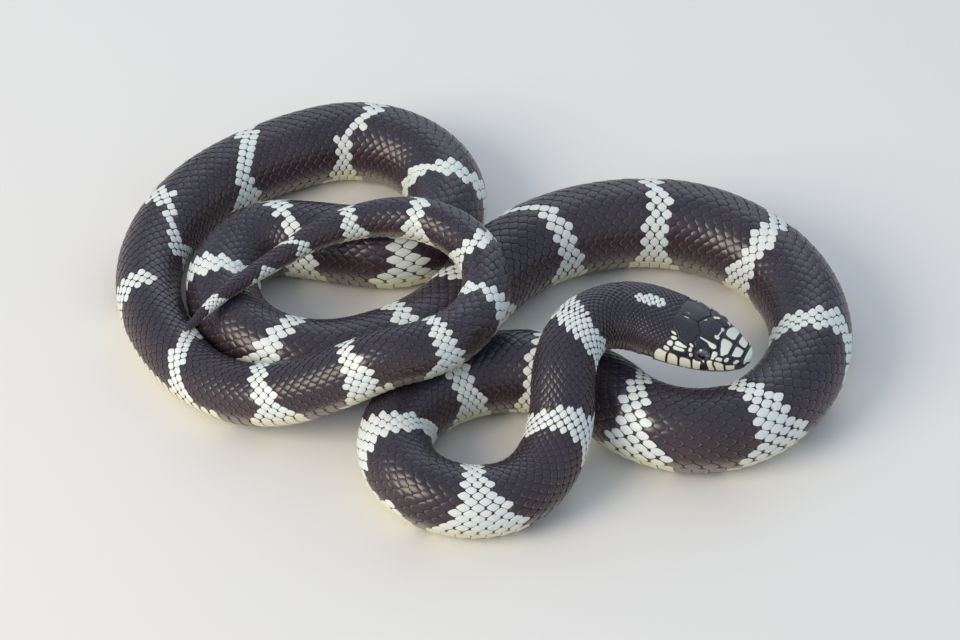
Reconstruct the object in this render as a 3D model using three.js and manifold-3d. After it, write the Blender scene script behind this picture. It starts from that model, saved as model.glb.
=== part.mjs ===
// A California kingsnake, one metre long, lying coiled on its belly at life size.
// Millimetres, +Z up, the floor at z = 0, the origin under the middle of the coils.
// The body is one closed loft along a course over the floor, parted by thin cuts into
// head, jaw, neck, trunk lengths and tail; the eyes sit in sockets cut into the head.

import * as THREE from 'three';
import { mergeVertices } from 'three/addons/utils/BufferGeometryUtils.js';
import Module from 'manifold-3d';

const wasm = await Module();
wasm.setup();

// ---------------------------------------------------------------- driving dimensions

const GAP = 0.3;              // left open at every cut and round each eye
const BODY_SIDES = 22;
const HEAD_SIDES = 28;
const RING_STEP = 7;          // between two rings of the body, along its axis
const COURSE_STEP = 1;        // the course is walked in steps of this length
const BELLY = 0.93;           // axis height over the belly flat, as a share of the radius
const BELLY_SMOOTHING = 5;    // reach of the rounding between the rows of the tables below

// Where the snout lies over the floor, and the way the body leads off from it.
const SNOUT = { x: 69.7, y: -36.25, heading: -203 };

// The course over the floor from snout to tail tip, as arcs: [length, degrees to the left].
const COURSE = [
  [28, 0],                                   // head
  [20, 79], [18, 34], [24, -53],             // neck, over the body behind it
  [57, -158],                                // small front bend
  [65, -111], [44, 96], [102, 135],          // under the neck, round the right loop
  [55, 61], [43, -44],                       // back of the right loop, in to the middle
  [64, -128], [19, -77], [23, -4],           // inner coil
  [26, 90], [58, 121.5], [30, 22],           // back of the outer coil
  [29, 30], [30, 34.5], [30, 27.5],          // left side and front
  [29, 37.5], [29, 22.5],                    // up on to the front bend
  [79, 161], [26, 45],                       // tail coil, on top
  [43, 9],                                   // tail tip, nearly straight
];

// Height of the belly over the floor: [distance along the course, height].
const BELLY_HEIGHT = [
  [0, 18.5], [30, 21.9], [40, 22.2], [50, 22.8], [58, 21.5], [65, 17], [72, 10], [80, 3.5],
  [90, 0.4], [98, 0], [762, 0], [779, 2.4], [792, 6.1], [805, 12.9], [819, 20.1], [834, 20.8],
  [850, 21.2], [866, 22.4], [882, 22.9], [900, 22.3], [918, 21], [936, 20.5], [956, 20],
  [971, 16.5],
];

// Girth: [distance along the course, radius]. Thickest halfway, slimmer behind the vent.
const GIRTH = [
  [0, 8.4], [60, 8.3], [84, 8.9], [100, 9.5], [150, 10.1], [180, 11.1], [255, 11.2],
  [294, 11.2], [345, 12.4], [390, 12.2], [437, 10.6], [480, 10.1], [520, 10.2], [550, 10.9],
  [630, 11.2], [685, 10.2], [725, 8.9], [766, 8.2], [790, 8.5], [811, 8.2], [832, 7.7],
  [848, 7], [865, 6.4], [880, 6.3], [895, 6], [907, 5.2], [919, 4.3], [933, 3.2], [947, 2.5],
  [960, 1.8], [971, 0.9],
];

// The head, by distance from the snout: half width, height of the crown over the axis,
// depth of the throat under it, and height of the mouth line.
const HEAD_WIDTH = [
  [0, 1.7], [0.5, 2.7], [1.5, 3.5], [3, 4.4], [5, 5.5], [8, 6.8], [12, 8.2], [16, 9.1],
  [21, 9.6], [26, 9.7], [34, 9.3], [42, 8.4],
];
const HEAD_CROWN = [
  [0, 0.3], [0.5, 0.8], [1.5, 1.4], [3, 2.1], [5, 3], [8, 4.1], [12, 5.2], [16, 6],
  [21, 6.7], [26, 7.1], [34, 7.7], [42, 8.4],
];
const HEAD_DEPTH = [
  [0, 2.6], [0.5, 3.2], [1.5, 4.2], [3, 5], [5, 5.6], [8, 6.1], [12, 6.3], [16, 6.6],
  [21, 7.2], [26, 8], [34, 8.5], [42, 7.8],
];
const MOUTH_HEIGHT = [[0, -2.4], [4, -3.8], [10, -4.4], [18, -4.7], [24, -4.7], [28, -4.2]];
const HEAD_BOXINESS = [[0, 2.3], [6, 2.8], [12, 3], [26, 2.5], [42, 2]];   // 2 is an ellipse
const HEAD_RINGS = [0, 0.5, 1.5, 3, 5, 8, 11, 14, 17, 20, 23, 26];
const JAW = { from: 1.6, to: 28, narrower: 0.95 };
const HEAD_END = 34;

const EYE = { at: 10.8, out: 6.55, up: 1.4, along: 2.1, across: 1.45, high: 2.1 };

// Distances along the axis at which the body is parted.
const NECK_CUTS = [HEAD_END, 68, 100];
const TRUNK_CUTS = [
  100, 128, 160, 212, 268, 324, 380, 436, 484, 522, 562, 606, 640, 700, 754, 802, 850,
];
const TAIL_CUTS = [850, 896, 942];

const SCALE_BROWN = new THREE.MeshStandardMaterial({ color: 0x2b2422, roughness: 0.35, metalness: 0 });
const LIP_CREAM = new THREE.MeshStandardMaterial({ color: 0xe6dfc4, roughness: 0.4, metalness: 0 });
const EYE_BLACK = new THREE.MeshStandardMaterial({ color: 0x15110f, roughness: 0.08, metalness: 0 });

// ---------------------------------------------------------------- tables and course

// Straight-line reading of a table of [distance, value] rows.
function readTable(table, at) {
  const next = table.findIndex((row) => row[0] > at);
  if (next === 0) return table[0][1];
  if (next < 0) return table[table.length - 1][1];
  const [a, valueA] = table[next - 1];
  const [b, valueB] = table[next];
  return valueA + (valueB - valueA) * (at - a) / (b - a);
}

// The same, with its corners rounded by averaging over a short reach.
function readSmooth(table, at, reach = BELLY_SMOOTHING) {
  const samples = 9;
  let sum = 0;
  for (let i = 0; i < samples; i++) {
    sum += readTable(table, at + reach * (2 * i / (samples - 1) - 1));
  }
  return sum / samples;
}

// Walks the arcs over the floor and lifts each point to the height of the body's axis.
function walkCourse() {
  const points = [];
  let { x, y } = SNOUT;
  let heading = THREE.MathUtils.degToRad(SNOUT.heading);
  let walked = 0;
  let length = 0;
  const addPoint = () => {
    const radius = readSmooth(GIRTH, walked);
    const place = new THREE.Vector3(x, y, readSmooth(BELLY_HEIGHT, walked) + BELLY * radius);
    if (points.length > 0) length += place.distanceTo(points[points.length - 1].place);
    points.push({ place, length, radius });
  };
  addPoint();
  for (const [arc, turn] of COURSE) {
    const steps = Math.round(arc / COURSE_STEP);
    const stepTurn = THREE.MathUtils.degToRad(turn) / steps;
    for (let i = 0; i < steps; i++) {
      x += COURSE_STEP * Math.cos(heading + stepTurn / 2);
      y += COURSE_STEP * Math.sin(heading + stepTurn / 2);
      heading += stepTurn;
      walked += COURSE_STEP;
      addPoint();
    }
  }
  return points;
}

const course = walkCourse();
const BODY_LENGTH = course[course.length - 1].length;

function directionAt(index) {
  const before = course[Math.max(index - 1, 0)].place;
  const beyond = course[Math.min(index + 1, course.length - 1)].place;
  return new THREE.Vector3().subVectors(beyond, before).normalize();
}

// Place, radius and directions of the body at a distance along its axis.
function station(at) {
  const after = course.findIndex((point) => point.length > at);
  const next = after < 0 ? course.length - 1 : after;
  const a = course[next - 1];
  const b = course[next];
  const share = (at - a.length) / (b.length - a.length);
  const along = directionAt(next - 1).lerp(directionAt(next), share).normalize();
  const up = new THREE.Vector3(0, 0, 1).addScaledVector(along, -along.z).normalize();
  return {
    place: new THREE.Vector3().lerpVectors(a.place, b.place, share),
    radius: THREE.MathUtils.lerp(a.radius, b.radius, share),
    along,
    up,
    side: new THREE.Vector3().crossVectors(along, up),
  };
}

// ---------------------------------------------------------------- sections and lofts

// Half width, crown, throat and boxiness of the section at a distance along the axis.
function sectionSizes(at, radius) {
  if (at >= 42) return { wide: radius, crown: radius, deep: radius * BELLY, boxiness: 2 };
  return {
    wide: readTable(HEAD_WIDTH, at),
    crown: readTable(HEAD_CROWN, at),
    deep: readTable(HEAD_DEPTH, at),
    boxiness: readTable(HEAD_BOXINESS, at),
  };
}

// Angle under the horizontal at which a section of this boxiness reaches a share of its depth.
function angleAtDepth(share, boxiness) {
  return Math.asin(share ** (boxiness / 2));
}

// One ring of points round an ellipse or rounded box, closed by one straight edge: the flat
// of the belly, or the mouth line where only the part above or below it is kept.
function ring(at, sides, { keep = 'all', narrower = 1 } = {}) {
  const { place, side, up, radius } = station(at);
  const { wide, crown, deep, boxiness } = sectionSizes(at, radius);
  const mouth = readTable(MOUTH_HEIGHT, at);
  const fullDepth = deep / BELLY;
  let from = -angleAtDepth(BELLY, boxiness);
  if (keep === 'upper') from = -angleAtDepth(-(mouth + GAP / 2) / fullDepth, boxiness);
  if (keep === 'lower') from = Math.PI + angleAtDepth(-(mouth - GAP / 2) / fullDepth, boxiness);
  const to = (keep === 'lower' ? 3 : 1) * Math.PI - from;
  const points = [];
  for (let i = 0; i < sides; i++) {
    const angle = from + (to - from) * i / (sides - 1);
    const c = Math.cos(angle);
    const s = Math.sin(angle);
    const across = Math.sign(c) * Math.abs(c) ** (2 / boxiness) * wide * narrower;
    const reach = Math.abs(s) ** (2 / boxiness);
    const height = s > 0 ? crown * reach : Math.max(-deep, -fullDepth * reach);
    points.push(place.clone().addScaledVector(side, across).addScaledVector(up, height));
  }
  return points;
}

// A closed solid through rings with the same number of points, with flat ends.
function loft(rings) {
  const sides = rings[0].length;
  const positions = rings.flat().flatMap((point) => point.toArray());
  const index = [];
  for (let r = 0; r + 1 < rings.length; r++) {
    for (let i = 0; i < sides; i++) {
      const j = (i + 1) % sides;
      const a = r * sides + i;
      const b = r * sides + j;
      index.push(a, a + sides, b, b, a + sides, b + sides);
    }
  }
  const ends = [[rings[0], 0, true], [rings[rings.length - 1], (rings.length - 1) * sides, false]];
  for (const [points, first, isStart] of ends) {
    const middle = new THREE.Vector3();
    points.forEach((point) => middle.addScaledVector(point, 1 / sides));
    const centre = positions.length / 3;
    positions.push(...middle.toArray());
    for (let i = 0; i < sides; i++) {
      const a = first + i;
      const b = first + (i + 1) % sides;
      index.push(centre, isStart ? a : b, isStart ? b : a);
    }
  }
  const geometry = new THREE.BufferGeometry();
  geometry.setAttribute('position', new THREE.Float32BufferAttribute(positions, 3));
  geometry.setIndex(index);
  return geometry;
}

// Distances of the rings between two cuts, evenly spread.
function spread(from, to) {
  const steps = Math.max(1, Math.round((to - from) / RING_STEP));
  return Array.from({ length: steps + 1 }, (_, i) => from + (to - from) * i / steps);
}

function bodyLength(from, to) {
  return loft(spread(from + GAP / 2, to - GAP / 2).map((at) => ring(at, BODY_SIDES)));
}

// ---------------------------------------------------------------- head, jaw and eyes

function eyeball(sideways, larger = 0) {
  const { place, along, side, up } = station(EYE.at);
  const geometry = new THREE.SphereGeometry(1, 16, 10);
  geometry.scale(EYE.along + larger, EYE.across + larger, EYE.high + larger);
  const middle = place.clone().addScaledVector(side, sideways * EYE.out).addScaledVector(up, EYE.up);
  geometry.applyMatrix4(new THREE.Matrix4().makeBasis(along, side.clone().negate(), up));
  geometry.translate(middle.x, middle.y, middle.z);
  return geometry;
}

function toSolid(geometry) {
  const bare = geometry.clone();
  bare.deleteAttribute('normal');
  bare.deleteAttribute('uv');
  const merged = mergeVertices(bare, 1e-5);
  return new wasm.Manifold(new wasm.Mesh({
    numProp: 3,
    vertProperties: new Float32Array(merged.attributes.position.array),
    triVerts: new Uint32Array(merged.index.array),
  }));
}

function toGeometry(solid) {
  const mesh = solid.getMesh();
  const geometry = new THREE.BufferGeometry();
  geometry.setAttribute('position', new THREE.BufferAttribute(mesh.vertProperties, 3));
  geometry.setIndex(new THREE.BufferAttribute(mesh.triVerts, 1));
  return geometry;
}

// The skull and upper lips, whole behind the corners of the mouth, with two eye sockets.
function headGeometry() {
  const face = [...HEAD_RINGS, JAW.to].map((at) => ring(at, HEAD_SIDES, { keep: 'upper' }));
  const back = [JAW.to + GAP, 31, HEAD_END - GAP / 2].map((at) => ring(at, HEAD_SIDES));
  let solid = toSolid(loft([...face, ...back]));
  for (const sideways of [-1, 1]) {
    solid = solid.subtract(toSolid(eyeball(sideways, GAP)));
  }
  return toGeometry(solid);
}

function jawGeometry() {
  const inside = HEAD_RINGS.filter((at) => at > JAW.from && at < JAW.to - 1);
  const places = [JAW.from, ...inside, JAW.to - GAP];
  const shape = { keep: 'lower', narrower: JAW.narrower };
  return loft(places.map((at) => ring(at, HEAD_SIDES, shape)));
}

// ---------------------------------------------------------------- assembly

const snake = new THREE.Group();
snake.name = 'coiled_kingsnake';

function add(name, geometry, material) {
  geometry.computeVertexNormals();
  const mesh = new THREE.Mesh(geometry, material);
  mesh.name = name;
  snake.add(mesh);
}

function addLengths(name, cuts) {
  for (let i = 0; i + 1 < cuts.length; i++) {
    const number = String(i + 1).padStart(2, '0');
    add(`${name}_${number}`, bodyLength(cuts[i], cuts[i + 1]), SCALE_BROWN);
  }
}

add('head', headGeometry(), SCALE_BROWN);
add('lower_jaw', jawGeometry(), LIP_CREAM);
add('eye_right', eyeball(-1), EYE_BLACK);
add('eye_left', eyeball(1), EYE_BLACK);
addLengths('neck', NECK_CUTS);
addLengths('trunk', TRUNK_CUTS);
addLengths('tail', [...TAIL_CUTS, BODY_LENGTH]);

export default snake;
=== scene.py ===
"""A coiled California kingsnake at life size: skin, scales, head plates, eyes and a plain studio."""

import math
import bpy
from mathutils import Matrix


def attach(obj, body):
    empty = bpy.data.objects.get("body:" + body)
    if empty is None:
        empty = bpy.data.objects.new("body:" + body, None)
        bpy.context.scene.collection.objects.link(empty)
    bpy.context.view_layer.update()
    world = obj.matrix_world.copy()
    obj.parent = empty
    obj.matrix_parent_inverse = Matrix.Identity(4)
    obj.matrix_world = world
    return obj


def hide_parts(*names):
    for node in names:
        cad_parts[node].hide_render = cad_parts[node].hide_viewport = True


bl_info = {
    "name": "Coiled kingsnake",
    "version": (1, 0, 0),
    "blender": (4, 5, 0),
    "location": "3D View > Sidebar > Kingsnake",
    "description": "Covers the coiled body with skin, solid scales, head plates and eyes",
    "category": "Object",
}

import bpy
import numpy as np
from bpy.props import FloatProperty, FloatVectorProperty, PointerProperty

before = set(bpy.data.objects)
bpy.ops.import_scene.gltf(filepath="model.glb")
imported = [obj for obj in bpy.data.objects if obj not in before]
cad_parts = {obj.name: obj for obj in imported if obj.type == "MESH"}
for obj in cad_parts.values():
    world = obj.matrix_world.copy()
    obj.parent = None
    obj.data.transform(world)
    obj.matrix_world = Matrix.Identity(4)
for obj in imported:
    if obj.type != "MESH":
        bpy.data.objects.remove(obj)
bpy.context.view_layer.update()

MM = 0.001
ROOT = "root"

# ------------------------------------------------------------------ the body's own tables
# Millimetres and degrees, the same named sizes that the solids were built from.

BELLY = 0.93                 # axis height over the belly flat, as a share of the radius
SMOOTHING = 5.0              # reach of the rounding between the rows of the tables
SNOUT = (69.7, -36.25)
SNOUT_HEADING = -203.0

# Arcs over the floor from snout to tail tip: (length, degrees to the left).
COURSE = (
    (28, 0), (20, 79), (18, 34), (24, -53), (57, -158), (65, -111), (44, 96), (102, 135),
    (55, 61), (43, -44), (64, -128), (19, -77), (23, -4), (26, 90), (58, 121.5), (30, 22),
    (29, 30), (30, 34.5), (30, 27.5), (29, 37.5), (29, 22.5), (79, 161), (26, 45), (43, 9),
)
# Distance over the floor from the snout, and the height of the belly or the body's radius.
BELLY_HEIGHT = (
    (0, 18.5), (30, 21.9), (40, 22.2), (50, 22.8), (58, 21.5), (65, 17), (72, 10), (80, 3.5),
    (90, 0.4), (98, 0), (762, 0), (779, 2.4), (792, 6.1), (805, 12.9), (819, 20.1), (834, 20.8),
    (850, 21.2), (866, 22.4), (882, 22.9), (900, 22.3), (918, 21), (936, 20.5), (956, 20),
    (971, 16.5),
)
GIRTH = (
    (0, 8.4), (60, 8.3), (84, 8.9), (100, 9.5), (150, 10.1), (180, 11.1), (255, 11.2),
    (294, 11.2), (345, 12.4), (390, 12.2), (437, 10.6), (480, 10.1), (520, 10.2), (550, 10.9),
    (630, 11.2), (685, 10.2), (725, 8.9), (766, 8.2), (790, 8.5), (811, 8.2), (832, 7.7),
    (848, 7), (865, 6.4), (880, 6.3), (895, 6), (907, 5.2), (919, 4.3), (933, 3.2), (947, 2.5),
    (960, 1.8), (971, 0.9),
)
# Distance from the snout, and how far the head reaches aside, up and down from its axis.
HEAD_WIDTH = (
    (0, 1.7), (0.5, 2.7), (1.5, 3.5), (3, 4.4), (5, 5.5), (8, 6.8), (12, 8.2), (16, 9.1),
    (21, 9.6), (26, 9.7), (34, 9.3), (42, 8.4),
)
HEAD_CROWN = (
    (0, 0.3), (0.5, 0.8), (1.5, 1.4), (3, 2.1), (5, 3), (8, 4.1), (12, 5.2), (16, 6),
    (21, 6.7), (26, 7.1), (34, 7.7), (42, 8.4),
)
HEAD_DEPTH = (
    (0, 2.6), (0.5, 3.2), (1.5, 4.2), (3, 5), (5, 5.6), (8, 6.1), (12, 6.3), (16, 6.6),
    (21, 7.2), (26, 8), (34, 8.5), (42, 7.8),
)
# Distance from the snout, and how square the section is or how high the mouth lies.
BOXINESS = ((0, 2.3), (6, 2.8), (12, 3), (26, 2.5), (42, 2))
MOUTH_HEIGHT = ((0, -2.4), (4, -3.8), (10, -4.4), (18, -4.7), (24, -4.7), (28, -4.2))
HEAD_END = 42.0              # where the head's own tables end
SNOUT_CAP = 0.5              # how far the rounded tip of the snout stands before the first section
SNOUT_MIDDLE = -1.1          # height of its middle over the axis
TAIL_CAP = 3.0               # the length over which the tail's tip is rounded off

ORBIT = 0.4                  # depth of the soft hollow round each eye
# An eye's place along, beside and above the axis, and its half sizes.
EYE = {"at": 10.8, "out": 6.55, "up": 1.4, "along": 2.1, "across": 1.45, "high": 2.1}

# Pale bands: where each crosses the right side, right shoulder, back, left shoulder and left
# side (distance from the snout), then its half width on the right, the back and the left.
BANDS = (
    (55.5, 54.6, 51.5, 48.5, 47, 4, 3.5, 4),
    (78, 76, 75, 78, 80, 4.2, 3, 4.5),
    (108, 108.1, 109.7, 110, 110, 6.3, 2.8, 5),
    (140, 140, 140.5, 142.8, 146.5, 5.7, 3.4, 4.5),
    (169, 169, 168.9, 169.5, 169.8, 5, 2.8, 5.3),
    (195, 195, 195, 195, 195, 5, 3, 5),
    (221, 221.5, 225, 228.2, 230, 4.5, 2.8, 5.0),
    (253, 254, 256.8, 257.2, 258.3, 5, 3.0, 5.4),
    (286, 287.8, 290.5, 293, 287, 4.5, 4, 3.6),
    (325, 325, 327, 330.5, 331, 5, 3.5, 5),
    (361.5, 360.8, 361.8, 364.5, 361.5, 4.4, 3.2, 2.5),
    (393, 392.4, 394.8, 402, 404, 4.2, 2.6, 4),
    (425, 426, 427, 428, 429, 3.5, 2.8, 3.5),
    (449, 449, 449, 449, 449, 3.5, 2.8, 3.5),
    (486, 482.5, 480.7, 480, 480, 3.5, 3, 3.5),
    (517, 515.5, 513.8, 513, 513, 3.5, 3.1, 3.5),
    (540, 541, 543.8, 548.5, 551.3, 3, 2.3, 3.6),
    (573, 573, 574, 575.2, 575.8, 3, 2.5, 3.2),
    (609, 607.5, 603.3, 602, 598, 3.3, 2.7, 3.2),
    (647, 645.5, 636.8, 637.5, 642.5, 3.4, 2.8, 2.8),
    (683.5, 681.5, 674, 670, 669, 3.8, 3, 3.4),
    (718.5, 720, 706.3, 704, 703, 3.6, 3.2, 3.4),
    (737.5, 737.5, 737.3, 737.3, 738.5, -6, 3.0, 3.8),
    (755.5, 761, 765.5, 768.8, 773, 2.6, 2.8, 3.6),
    (796, 793.8, 794.6, 796.6, 798.8, 2.8, 2.8, 3.6),
    (819, 820.5, 821.6, 822.3, 821.8, 2.6, 2, 3.6),
    (844.5, 843, 843, 842.6, 842.3, 2.6, 2, 2.9),
    (862.5, 863, 863, 861.8, 861.4, 2.2, 2.2, 2.9),
    (881.5, 880.9, 881.6, 884.2, 886.5, 3.7, 2.7, 2.6),
    (903.5, 904, 904.4, 906, 908, 3.4, 2.1, 2.2),
    (924, 924.2, 924.6, 924.4, 924, 2.5, 2.2, 2.2),
    (940, 940, 942, 944.4, 943.5, 2.1, 1.9, 1.9),
    (953, 953, 953, 953, 953, 3.0, -0.6, -4),
    (970, 970, 970, 970, 970, 2.5, 2.3, 2.5),
)
BELLY_FLARE = 4.0            # how much wider a band gets from the sides to the belly
FLARE_FROM = 72.0            # degrees from the back's middle at which it begins to widen
PALE_EDGES = ((742, 784, 1), (121, 143, -1))   # where the belly's edge is pale: from, to, side
PALE_EDGE_FROM = 94.0        # degrees from the back's middle at which that edge begins
NAPE_SPOT = {"at": 28.4, "around": -2.3, "long": 4.2, "wide": 7.6, "slant": 0.5}


# ------------------------------------------------------------------ body surface

def read_table(table, at):
    rows = np.array(table, dtype=float)
    return np.interp(at, rows[:, 0], rows[:, 1])


def read_smooth(table, at):
    return sum(read_table(table, at + SMOOTHING * k) for k in np.linspace(-1, 1, 9)) / 9


def run_along(points):
    """Distance of each of a line's points from its first, along the line."""
    spans = np.linalg.norm(np.diff(points, axis=0), axis=1)
    return np.concatenate([[0.0], np.cumsum(spans)])


def read_line(at, posts, points):
    """Points of a line at places between its posts."""
    return np.stack([np.interp(at, posts, column) for column in points.T], axis=-1)


def walk_course():
    """Axis points, their distance along the axis and the body's radius at each."""
    steps = [np.full(round(arc), math.radians(turn) / round(arc)) for arc, turn in COURSE]
    steps = np.concatenate(steps)
    heading = math.radians(SNOUT_HEADING) + np.cumsum(steps) - steps / 2
    x = SNOUT[0] + np.concatenate([[0.0], np.cumsum(np.cos(heading))])
    y = SNOUT[1] + np.concatenate([[0.0], np.cumsum(np.sin(heading))])
    walked = np.arange(len(x), dtype=float)
    radius = read_smooth(GIRTH, walked)
    places = np.stack([x, y, read_smooth(BELLY_HEIGHT, walked) + BELLY * radius], axis=1)
    return places, run_along(places), radius


PLACES, DISTANCE, RADIUS = walk_course()
LENGTH = float(DISTANCE[-1])


def unit(vectors):
    return vectors / np.linalg.norm(vectors, axis=-1, keepdims=True)


def axis_directions():
    padded = np.concatenate([PLACES[:1], PLACES, PLACES[-1:]])
    return unit(padded[2:] - padded[:-2])


ALONG = axis_directions()


def station(at):
    """Place, along, up and side of the axis at distances from the snout."""
    place = read_line(at, DISTANCE, PLACES)
    along = unit(read_line(at, DISTANCE, ALONG))
    up = unit(np.array([0.0, 0.0, 1.0]) - along * along[..., 2:3])
    return place, along, up, np.cross(along, up)


def section(at):
    """Half width, crown, throat depth and boxiness of the body at distances from the snout."""
    radius = np.interp(at, DISTANCE, RADIUS)
    on_head = at < HEAD_END
    wide = np.where(on_head, read_table(HEAD_WIDTH, at), radius)
    crown = np.where(on_head, read_table(HEAD_CROWN, at), radius)
    deep = np.where(on_head, read_table(HEAD_DEPTH, at), radius * BELLY)
    boxiness = np.where(on_head, read_table(BOXINESS, at), 2.0)
    return wide, crown, deep, boxiness


def on_section(at, around):
    """Points of the surface. around is in degrees from the top of the back, + on the left."""
    before = np.minimum(at, 0.0)
    at = np.maximum(at, 0.0)
    taper = np.sqrt(np.clip(1 - ((at - LENGTH + TAIL_CAP) / TAIL_CAP).clip(0) ** 2, 0.0, 1.0))
    place, along, up, side = station(at)
    wide, crown, deep, boxiness = section(at)
    turn = np.radians(around)
    sine, cosine = np.sin(turn), np.cos(turn)
    across = np.sign(sine) * np.abs(sine) ** (2 / boxiness) * wide * taper
    reach = np.abs(cosine) ** (2 / boxiness)
    height = np.where(cosine > 0, crown * reach, -np.minimum(deep, deep / BELLY * reach)) * taper
    shrink = np.sqrt(np.maximum(1 - (before / SNOUT_CAP) ** 2, 0.0))
    across = across * shrink
    height = SNOUT_MIDDLE + (height - SNOUT_MIDDLE) * np.where(before < 0, shrink, 1.0)
    return place + side * across[..., None] + up * height[..., None] + along * before[..., None]


def on_body(at, around, lift):
    """Points over the surface by lift millimetres along its own normal."""
    at, around, lift = np.broadcast_arrays(np.asarray(at, float), around, lift)
    step = np.clip(0.08 * (at + 1), 0.03, 0.4)
    ahead = np.minimum(at + step, LENGTH)
    behind = np.maximum(at - step, 0.001 - SNOUT_CAP)
    lengthwise = on_section(ahead, around) - on_section(behind, around)
    crosswise = on_section(at, around + 3.0) - on_section(at, around - 3.0)
    normal = unit(np.cross(crosswise, lengthwise))
    points = on_section(at, around)
    return points + normal * (lift - orbit_depth(points, at))[..., None]


def orbit_depth(points, at):
    """How deep the soft hollow round an eye is at points of the surface."""
    place, along, up, side = (v[0] for v in station(np.array([EYE["at"]])))
    offset = points - place
    u = offset @ along / EYE["along"]
    v = (offset @ up - EYE["up"]) / EYE["high"]
    hollow = ORBIT * smooth_step(1.45, 0.9, np.hypot(u, v))
    return np.where((at < 18) & (np.abs(offset @ side) > 3), hollow, 0.0)


def angle_at(at, height):
    """Degrees from the top at which the section passes a height over the axis."""
    _, crown, deep, boxiness = section(np.asarray(float(at)))
    share = height / crown if height > 0 else height * BELLY / deep
    cosine = min(abs(share), 1.0) ** (float(boxiness) / 2)
    return math.degrees(math.acos(math.copysign(cosine, share)))


def girth_radius(at):
    wide, crown, _, _ = section(at)
    return (wide + crown) / 2


# ------------------------------------------------------------------ markings

def band_depth(at, around):
    """How far inside a pale band a place lies, in millimetres; negative outside."""
    at, around = np.broadcast_arrays(np.asarray(at, float), np.asarray(around, float))
    posts = (-90, -45, 0, 45, 90)
    deepest = np.full(at.shape, -99.0)
    flare = BELLY_FLARE * np.clip((np.abs(around) - FLARE_FROM) / 50, 0, 1)
    for band in BANDS:
        centre = np.interp(around, posts, band[:5])
        half = np.interp(around, (-90, 0, 90), band[5:])
        half = half + flare * np.clip(half / 4, 0, 1)
        deepest = np.maximum(deepest, half - np.abs(at - centre))
    for start, end, side in PALE_EDGES:
        edge = np.minimum(np.minimum(at - start, end - at) / 3, (around * side - PALE_EDGE_FROM) / 4)
        deepest = np.maximum(deepest, edge)
    ahead = NAPE_SPOT["at"] - at
    aside = around - NAPE_SPOT["around"] - ahead * NAPE_SPOT["slant"]
    spread = np.abs(ahead / NAPE_SPOT["long"]) ** 3 + np.abs(aside / NAPE_SPOT["wide"]) ** 3
    return np.maximum(deepest, (1 - spread ** (1 / 3)) * 4)


def smooth_step(low, high, value):
    share = np.clip((value - low) / (high - low), 0, 1)
    return share * share * (3 - 2 * share)


# ------------------------------------------------------------------ mesh making

BAKE_ROWS = 4                # the skin's unwrap: so many strips of body, side by side
BAKE_MARGIN = 0.03           # the free share of a strip on either side
PATCH = 0.003                # how wide a scale's own patch of the unwrap is


def unwrap(at, around, home_at=None, home_around=None):
    """The skin's unwrap: the body's length folded into rows, its girth across each row.

    Places that belong together stay together round the home place that they share.
    """
    at, around = np.broadcast_arrays(np.asarray(at, float), np.asarray(around, float))
    home_at = at if home_at is None else home_at
    home_around = around if home_around is None else home_around
    row = np.floor(np.clip(home_at / LENGTH, 0, 0.999999) * BAKE_ROWS)
    home_girth = (home_around / 360 + 0.5) % 1.0
    girth = home_girth + ((around - home_around + 180) % 360 - 180) / 360
    across = (row + BAKE_MARGIN + (1 - 2 * BAKE_MARGIN) * girth) / BAKE_ROWS
    return np.stack([at / LENGTH * BAKE_ROWS - row, across], axis=-1)


def new_mesh(name, points, faces, uv, values, material):
    """One object from points in millimetres, faces, a bake map and values per point.

    The bake map has one row per point, or one per corner of the faces where it is cut.
    """
    mesh = bpy.data.meshes.new(name)
    mesh.from_pydata((np.asarray(points) * MM).tolist(), [], faces)
    uv = np.asarray(uv, dtype=np.float32)
    if len(uv) == len(points):
        corner = np.empty(len(mesh.loops), dtype=np.int32)
        mesh.loops.foreach_get("vertex_index", corner)
        uv = uv[corner]
    mesh.uv_layers.new(name="OFBake").data.foreach_set("uv", uv.ravel())
    for key, data in values.items():
        attribute = mesh.attributes.new(key, "FLOAT", "POINT")
        attribute.data.foreach_set("value", np.asarray(data, dtype=np.float32))
    mesh.materials.append(material)
    mesh.validate()
    piece = bpy.data.objects.new(name, mesh)
    bpy.context.scene.collection.objects.link(piece)
    bpy.ops.object.select_all(action="DESELECT")
    piece.select_set(True)
    bpy.context.view_layer.objects.active = piece
    bpy.ops.object.shade_smooth_by_angle(angle=math.radians(50))
    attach(piece, ROOT)
    return piece


def turn_outwards():
    """Turns the faces of the active piece outwards."""
    bpy.ops.object.mode_set(mode="EDIT")
    bpy.ops.mesh.select_all(action="SELECT")
    bpy.ops.mesh.normals_make_consistent(inside=False)
    bpy.ops.object.mode_set(mode="OBJECT")


def dome(first, rings, count):
    """Faces of a closed solid: rings of count points each from its foot up, then its middle."""
    last = first + (rings - 1) * count
    sides = [(i, (i + 1) % count) for i in range(count)]
    faces = [tuple(range(first, first + count))]
    for row in range(first, last, count):
        faces += [(row + j, row + i, row + count + i, row + count + j) for i, j in sides]
    return faces + [(last + j, last + i, last + count) for i, j in sides]


def joined(single_faces, single_size, count):
    """Faces of count like small solids of single_size points each, as one list."""
    firsts = range(0, count * single_size, single_size)
    return [tuple(first + i for i in face) for first in firsts for face in single_faces]


# ------------------------------------------------------------------ materials

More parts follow.
